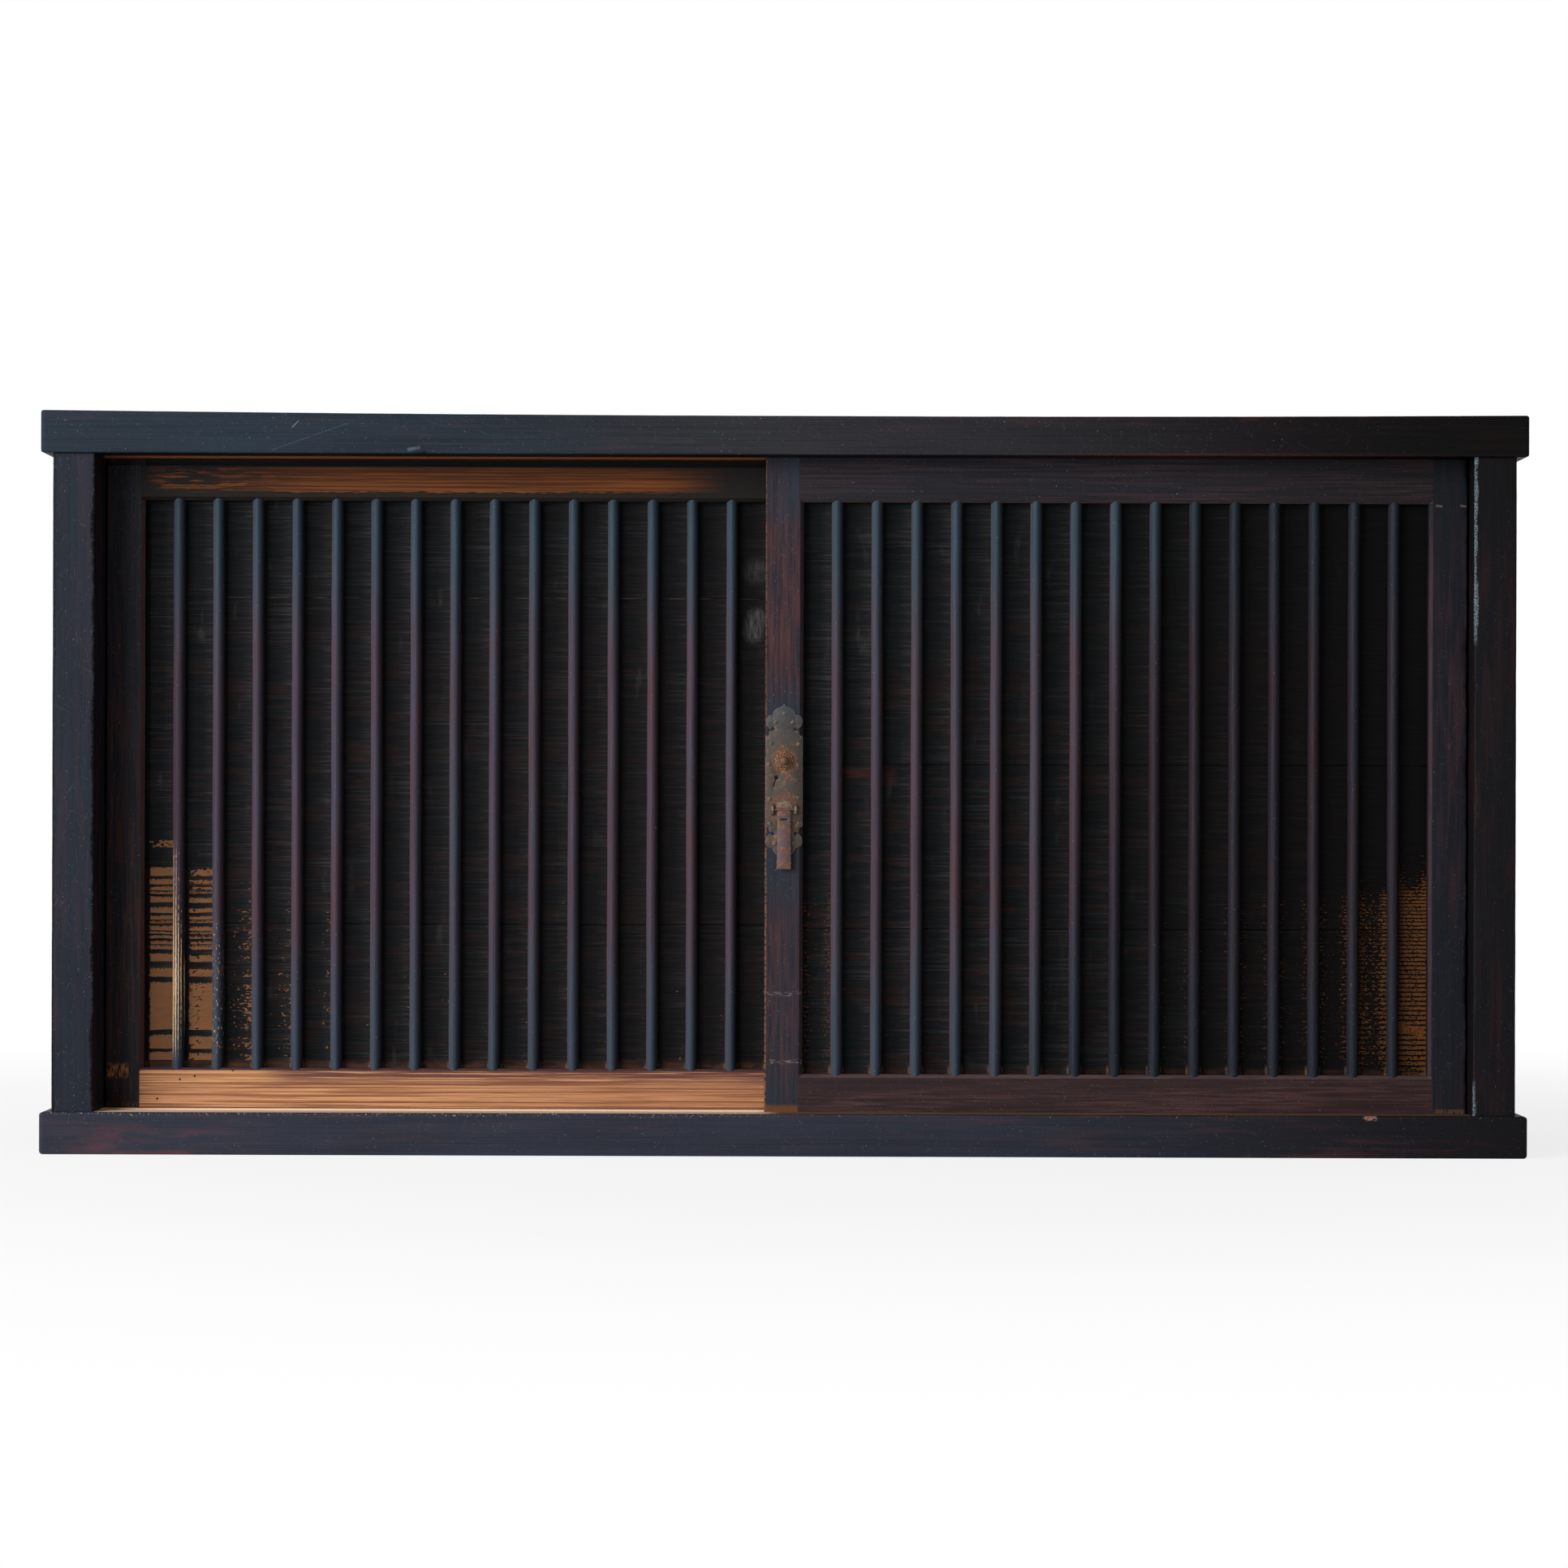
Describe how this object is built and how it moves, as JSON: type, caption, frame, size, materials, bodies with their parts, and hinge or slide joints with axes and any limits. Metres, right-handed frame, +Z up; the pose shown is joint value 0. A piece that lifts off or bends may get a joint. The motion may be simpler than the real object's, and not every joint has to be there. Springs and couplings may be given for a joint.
{
  "type": "mizuya tansu",
  "caption": "low wide kitchen chest of dark stained wood with lattice doors that slide past each other, an iron lock plate with a pull and a hanging hasp",
  "frame": {"origin": "on the floor, under the middle of the chest", "axes": "+X to the right seen from the front, +Y from front to back, +Z up; the front looks along -Y"},
  "size_m": [1.515, 0.424, 0.7575],
  "materials": {
    "stained_frame_wood": "dark stain with a worn lacquer sheen",
    "stained_board": "dark stain, sawn boards",
    "stained_door_board": "dark stain rubbed through to bare wood at the foot",
    "stained_bar_wood": "dark stain with a soft sheen",
    "unstained_cedar": "bare, aged",
    "rusted_iron": "hand cut, brown rust"
  },
  "bodies": {
    "carcass": {"top_front_plank": "stained_frame_wood", "top_rear_plank": "stained_frame_wood", "front_left_post": "stained_frame_wood", "front_right_post": "stained_frame_wood", "rear_left_post": "stained_frame_wood", "rear_right_post": "stained_frame_wood", "base_front_sill": "stained_frame_wood", "base_rear_rail": "stained_frame_wood", "base_left_rail": "stained_frame_wood", "base_right_rail": "stained_frame_wood", "floor_board": "unstained_cedar", "left_side_panel": "stained_board", "right_side_panel": "stained_board", "back_panel": "stained_board", "shelf": "unstained_cedar"},
    "left_door": {"left_door_left_stile": "stained_frame_wood", "left_door_right_stile": "stained_frame_wood", "left_door_top_rail": "stained_frame_wood", "left_door_bottom_rail": "stained_frame_wood", "left_door_panel": "stained_door_board", "left_door_bar_01": "stained_bar_wood", "left_door_bar_02": "stained_bar_wood", "left_door_bar_03": "stained_bar_wood", "left_door_bar_04": "stained_bar_wood", "left_door_bar_05": "stained_bar_wood", "left_door_bar_06": "stained_bar_wood", "left_door_bar_07": "stained_bar_wood", "left_door_bar_08": "stained_bar_wood", "left_door_bar_09": "stained_bar_wood", "left_door_bar_10": "stained_bar_wood", "left_door_bar_11": "stained_bar_wood", "left_door_bar_12": "stained_bar_wood", "left_door_bar_13": "stained_bar_wood", "left_door_bar_14": "stained_bar_wood", "left_door_bar_15": "stained_bar_wood"},
    "right_door": {"right_door_left_stile": "stained_frame_wood", "right_door_right_stile": "stained_frame_wood", "right_door_top_rail": "stained_frame_wood", "right_door_bottom_rail": "stained_frame_wood", "right_door_panel": "stained_door_board", "right_door_bar_01": "stained_bar_wood", "right_door_bar_02": "stained_bar_wood", "right_door_bar_03": "stained_bar_wood", "right_door_bar_04": "stained_bar_wood", "right_door_bar_05": "stained_bar_wood", "right_door_bar_06": "stained_bar_wood", "right_door_bar_07": "stained_bar_wood", "right_door_bar_08": "stained_bar_wood", "right_door_bar_09": "stained_bar_wood", "right_door_bar_10": "stained_bar_wood", "right_door_bar_11": "stained_bar_wood", "right_door_bar_12": "stained_bar_wood", "right_door_bar_13": "stained_bar_wood", "right_door_bar_14": "stained_bar_wood", "right_door_bar_15": "stained_bar_wood", "lock_plate": "rusted_iron", "pull_knob": "rusted_iron", "hasp_pin": "rusted_iron", "lock_case": "rusted_iron"},
    "hasp": {"hasp": "rusted_iron"}
  },
  "joints": [
    {"name": "left_door_slide", "type": "slide", "parent": "carcass", "child": "left_door", "axis": [1, 0, 0], "range_m": [0, 0.6806]},
    {"name": "right_door_slide", "type": "slide", "parent": "carcass", "child": "right_door", "axis": [1, 0, 0], "range_m": [-0.6806, 0]},
    {"name": "hasp_hinge", "type": "hinge", "parent": "right_door", "child": "hasp", "pos_m": [0, -0.1827, 0.35295], "axis": [-1, 0, 0], "range_deg": [0, 150]}
  ]
}
